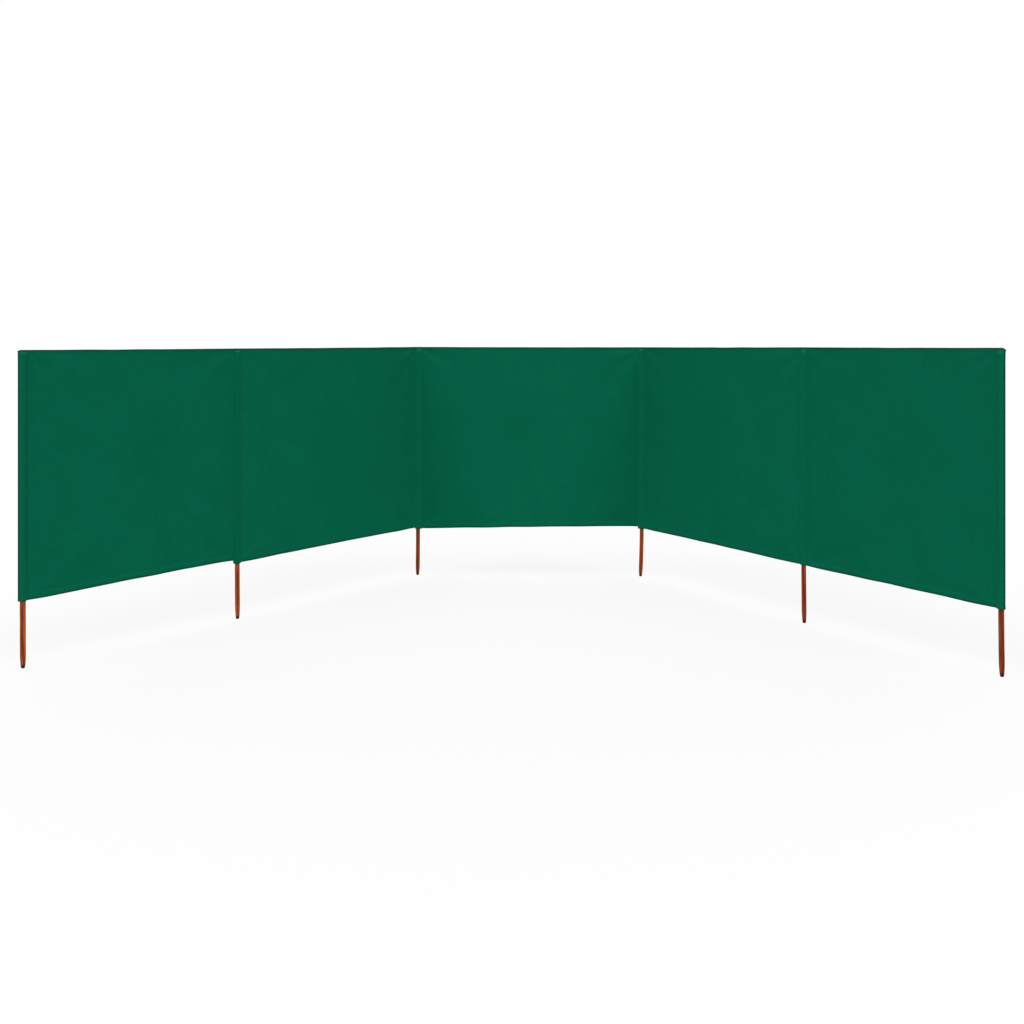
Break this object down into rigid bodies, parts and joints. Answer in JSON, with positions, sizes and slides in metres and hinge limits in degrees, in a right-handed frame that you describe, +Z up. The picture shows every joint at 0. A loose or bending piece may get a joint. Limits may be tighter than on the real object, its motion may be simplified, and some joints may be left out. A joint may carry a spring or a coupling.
{
  "type": "beach windbreak",
  "caption": "Folding strip of green cloth on wooden poles in sewn pockets, standing as an open-fronted shelter; each bay swings about the pole beside it.",
  "frame": {"origin": "centre of the flat tip of the back left pole", "axes": "+Z up along the poles, +X along the back bay from its left pole to its right pole; the open front of the shelter is on the -Y side"},
  "size_m": [3.6646, 1.7876, 1.2],
  "materials": {
    "pole_wood": "reddish-brown stained softwood, satin",
    "panel_cloth": "plain woven green cloth, matte",
    "pocket_cloth": "the same cloth in two layers round a pole, matte",
    "hem_cloth": "the same cloth turned over and stitched, matte"
  },
  "bodies": {
    "back": {"pole_3": "pole_wood", "pole_4": "pole_wood", "pocket_3": "pocket_cloth", "pocket_4": "pocket_cloth", "panel_3": "panel_cloth", "top_hem_3": "hem_cloth", "bottom_hem_3": "hem_cloth"},
    "left_side": {"pole_2": "pole_wood", "pocket_2": "pocket_cloth", "panel_2": "panel_cloth", "top_hem_2": "hem_cloth", "bottom_hem_2": "hem_cloth"},
    "left_end": {"pole_1": "pole_wood", "pocket_1": "pocket_cloth", "panel_1": "panel_cloth", "top_hem_1": "hem_cloth", "bottom_hem_1": "hem_cloth"},
    "right_side": {"pole_5": "pole_wood", "pocket_5": "pocket_cloth", "panel_4": "panel_cloth", "top_hem_4": "hem_cloth", "bottom_hem_4": "hem_cloth"},
    "right_end": {"pole_6": "pole_wood", "pocket_6": "pocket_cloth", "panel_5": "panel_cloth", "top_hem_5": "hem_cloth", "bottom_hem_5": "hem_cloth"}
  },
  "joints": [
    {"name": "left_back_fold", "type": "hinge", "parent": "back", "child": "left_side", "pos_m": [0, 0, 0], "axis": [0, 0, 1], "range_deg": [-131, 19]},
    {"name": "left_side_fold", "type": "hinge", "parent": "left_side", "child": "left_end", "pos_m": [-0.65985, -0.97826, 0], "axis": [0, 0, 1], "range_deg": [-73, 77]},
    {"name": "right_back_fold", "type": "hinge", "parent": "back", "child": "right_side", "pos_m": [1.18, 0, 0], "axis": [0, 0, -1], "range_deg": [-131, 19]},
    {"name": "right_side_fold", "type": "hinge", "parent": "right_side", "child": "right_end", "pos_m": [1.83985, -0.97826, 0], "axis": [0, 0, -1], "range_deg": [-73, 77]}
  ]
}
